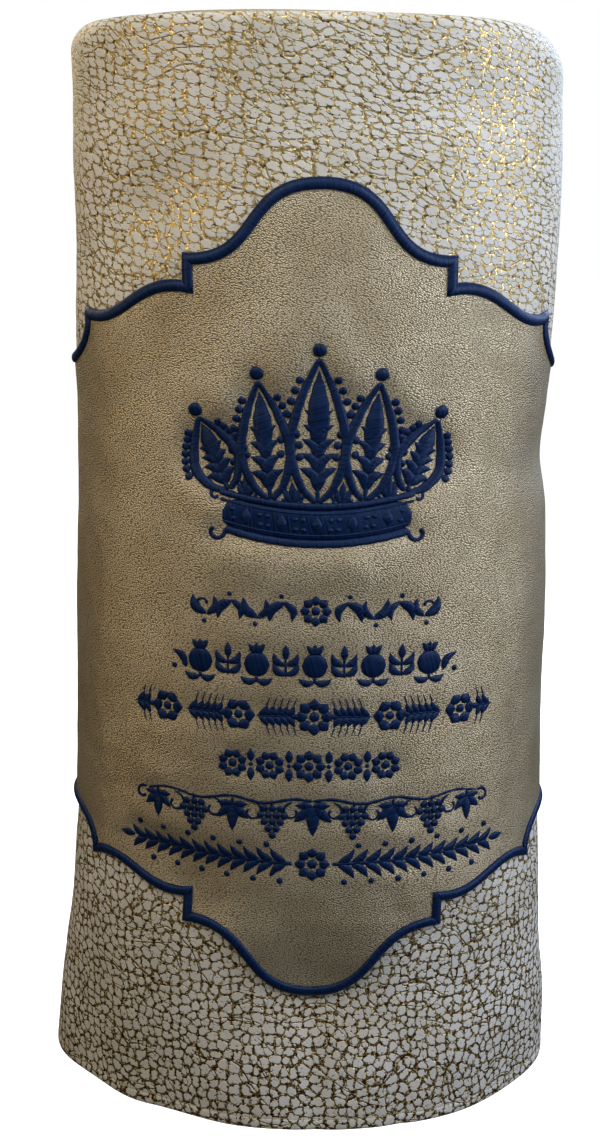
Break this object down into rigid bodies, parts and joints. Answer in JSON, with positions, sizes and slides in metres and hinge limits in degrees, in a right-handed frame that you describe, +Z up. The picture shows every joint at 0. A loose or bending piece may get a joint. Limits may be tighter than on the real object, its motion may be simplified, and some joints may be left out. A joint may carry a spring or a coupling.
{
  "type": "torah mantle",
  "caption": "Oval leather cover for a scroll: open below, stiff crowned top with round handle holes, appliqué centre panel and corded borders.",
  "frame": {"origin": "centre of the flat underside of the top, where the scroll carries the mantle", "axes": "+Z up along the mantle's length, +Y towards the back, +X to the right as seen from the decorated front"},
  "size_m": [0.376, 0.2309, 0.7451],
  "materials": {
    "crackled_leather": "matte grey-white crackle over gold foil",
    "champagne_leather": "metallic champagne with a pebbled grain",
    "navy_thread": "satin-stitched rayon thread"
  },
  "bodies": {
    "root": {"mantle_body": "crackled_leather", "top_panel": "champagne_leather", "centre_panel": "champagne_leather", "border_upper": "navy_thread", "border_lower": "navy_thread"}
  },
  "joints": []
}
